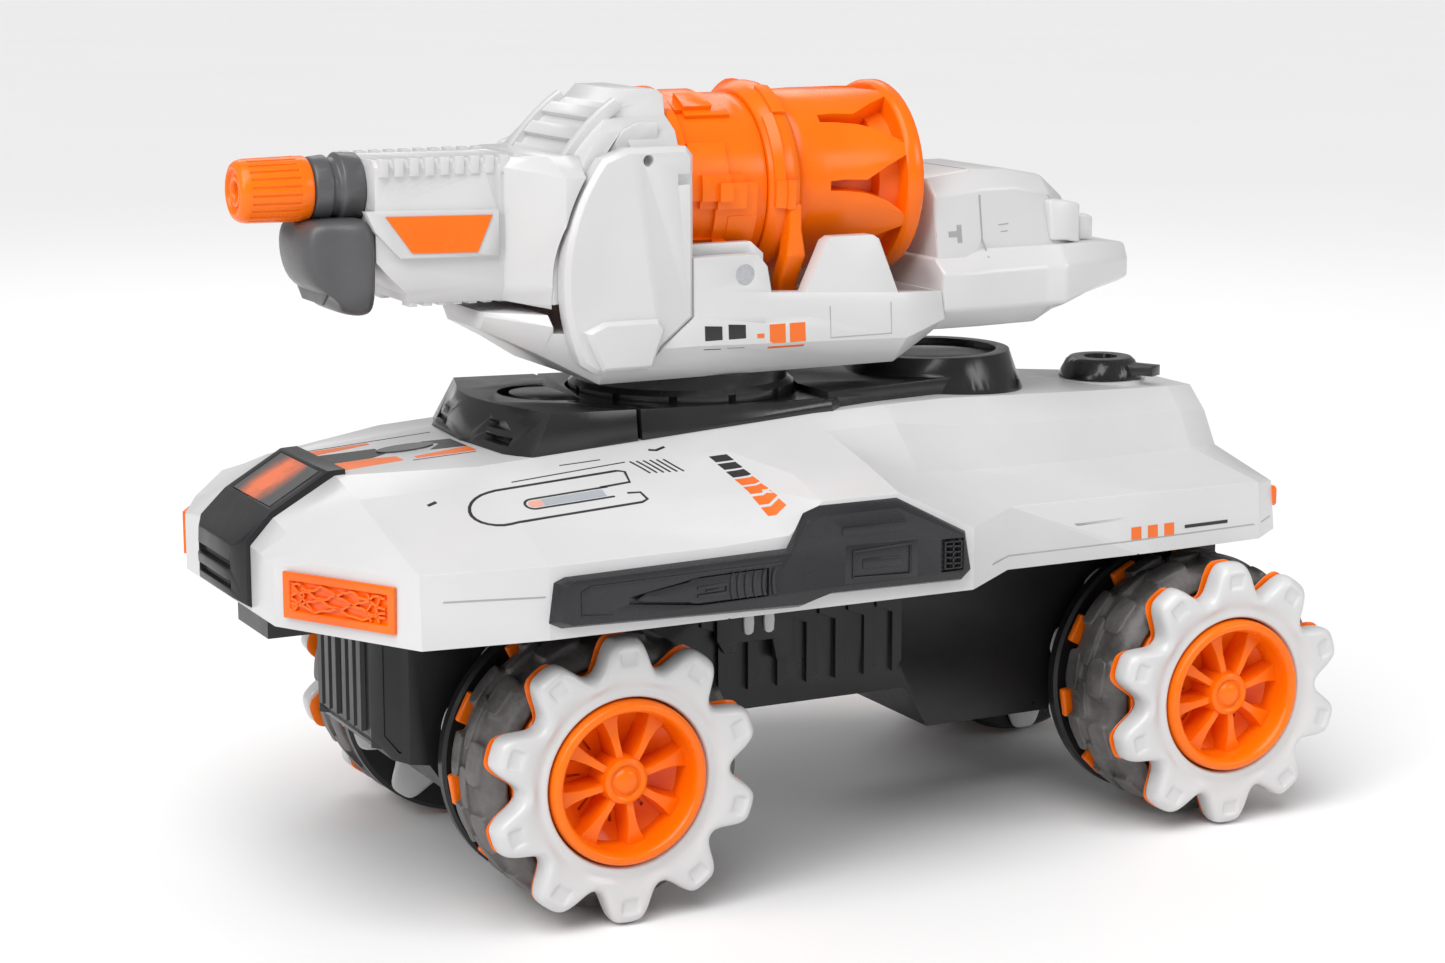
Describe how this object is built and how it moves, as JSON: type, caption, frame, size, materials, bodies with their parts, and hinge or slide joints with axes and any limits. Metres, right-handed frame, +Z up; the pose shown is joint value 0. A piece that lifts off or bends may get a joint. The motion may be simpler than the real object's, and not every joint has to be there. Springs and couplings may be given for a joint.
{
  "type": "toy armoured car",
  "caption": "Toy armoured car with toothed rollers for wheels, a faceted shell and a turning gun turret that carries a slotted bead drum.",
  "frame": {"origin": "on the ground under the middle of the car", "axes": "+X forward, +Y to the left side of the car, +Z up"},
  "size_m": [0.3264, 0.1804, 0.2216],
  "materials": {
    "white_shell": "glossy moulded white plastic with a fine grain",
    "dark_plastic": "satin dark grey moulded plastic",
    "black_plastic": "semi-gloss black moulded plastic",
    "grey_plastic": "satin mid grey moulded plastic",
    "orange_plastic": "glossy orange plastic",
    "orange_lens": "glossy orange lamp panel",
    "smoked_pane": "smoked clear plastic",
    "tyre_rubber": "moulded soft rubber",
    "steel": "bright drawn steel",
    "board_green": "printed circuit board",
    "battery_wrap": "shrink-wrapped cells",
    "nylon": "natural nylon gears"
  },
  "bodies": {
    "car": {"lower_chassis": "dark_plastic", "upper_shell": "white_shell", "nose_cover": "dark_plastic", "windscreen": "smoked_pane", "tail_lamps": "orange_lens", "deck_cover": "black_plastic", "battery_pack": "battery_wrap", "battery_door": "dark_plastic", "circuit_board": "board_green", "case_screws": "steel", "drive_motors": "grey_plastic", "yaw_motor": "steel", "headlamp_left": "orange_lens", "headlamp_right": "orange_lens", "side_skirt_left": "black_plastic", "side_skirt_right": "black_plastic"},
    "turret": {"turntable": "black_plastic", "turret_gear": "nylon", "turret_tray": "white_shell", "turret_rear": "white_shell", "turret_cheek_left": "white_shell", "turret_cheek_right": "white_shell", "trunnion_pins": "steel"},
    "gun": {"gun_hood": "white_shell", "barrel_housing": "white_shell", "muzzle_cap": "orange_plastic", "barrel_collar": "grey_plastic", "recoil_pod": "grey_plastic", "label_plates": "orange_plastic", "drum_collar": "orange_plastic", "drum_spindle": "steel"},
    "bead_drum": {"drum_cage": "orange_plastic"},
    "drum_lock": {"lock_ring": "orange_plastic"},
    "power_switch": {"power_knob": "black_plastic"},
    "yaw_drive": {"yaw_pinion": "nylon"},
    "wheel_front_left": {"wheel_front_left_axle": "steel", "wheel_front_left_inner_plate": "white_shell", "wheel_front_left_inner_ring": "dark_plastic", "wheel_front_left_outer_plate": "white_shell", "wheel_front_left_rim": "orange_plastic", "wheel_front_left_tyre": "tyre_rubber"},
    "wheel_front_right": {"wheel_front_right_axle": "steel", "wheel_front_right_inner_plate": "white_shell", "wheel_front_right_inner_ring": "dark_plastic", "wheel_front_right_outer_plate": "white_shell", "wheel_front_right_rim": "orange_plastic", "wheel_front_right_tyre": "tyre_rubber"},
    "wheel_rear_left": {"wheel_rear_left_axle": "steel", "wheel_rear_left_inner_plate": "white_shell", "wheel_rear_left_inner_ring": "dark_plastic", "wheel_rear_left_outer_plate": "white_shell", "wheel_rear_left_rim": "orange_plastic", "wheel_rear_left_tyre": "tyre_rubber"},
    "wheel_rear_right": {"wheel_rear_right_axle": "steel", "wheel_rear_right_inner_plate": "white_shell", "wheel_rear_right_inner_ring": "dark_plastic", "wheel_rear_right_outer_plate": "white_shell", "wheel_rear_right_rim": "orange_plastic", "wheel_rear_right_tyre": "tyre_rubber"}
  },
  "joints": [
    {"name": "turret_yaw", "type": "hinge", "parent": "car", "child": "turret", "pos_m": [0.02, 0, 0.135], "axis": [0, 0, 1], "range_deg": [-160, 160]},
    {"name": "gun_pitch", "type": "hinge", "parent": "turret", "child": "gun", "pos_m": [0.018, 0, 0.169], "axis": [0, -1, 0], "range_deg": [0, 8]},
    {"name": "drum_spin", "type": "hinge", "parent": "gun", "child": "bead_drum", "pos_m": [0, 0, 0.1915], "axis": [1, 0, 0], "continuous": true},
    {"name": "drum_lock_turn", "type": "hinge", "parent": "gun", "child": "drum_lock", "pos_m": [0, 0, 0.1915], "axis": [1, 0, 0], "range_deg": [0, 30]},
    {"name": "power_turn", "type": "hinge", "parent": "car", "child": "power_switch", "pos_m": [-0.127, 0, 0.125], "axis": [0, 0, 1], "range_deg": [0, 90]},
    {"name": "yaw_pinion_spin", "type": "hinge", "parent": "car", "child": "yaw_drive", "pos_m": [-0.01, 0, 0.1065], "axis": [0, 0, 1], "range_deg": [-480, 480]},
    {"name": "wheel_front_left_spin", "type": "hinge", "parent": "car", "child": "wheel_front_left", "pos_m": [0.074, 0.06, 0.04], "axis": [0, 1, 0], "continuous": true},
    {"name": "wheel_front_right_spin", "type": "hinge", "parent": "car", "child": "wheel_front_right", "pos_m": [0.074, -0.06, 0.04], "axis": [0, 1, 0], "continuous": true},
    {"name": "wheel_rear_left_spin", "type": "hinge", "parent": "car", "child": "wheel_rear_left", "pos_m": [-0.124, 0.06, 0.04], "axis": [0, 1, 0], "continuous": true},
    {"name": "wheel_rear_right_spin", "type": "hinge", "parent": "car", "child": "wheel_rear_right", "pos_m": [-0.124, -0.06, 0.04], "axis": [0, 1, 0], "continuous": true}
  ],
  "couplings": [
    {"joint": "yaw_pinion_spin", "follows": "turret_yaw", "ratio": -3}
  ]
}
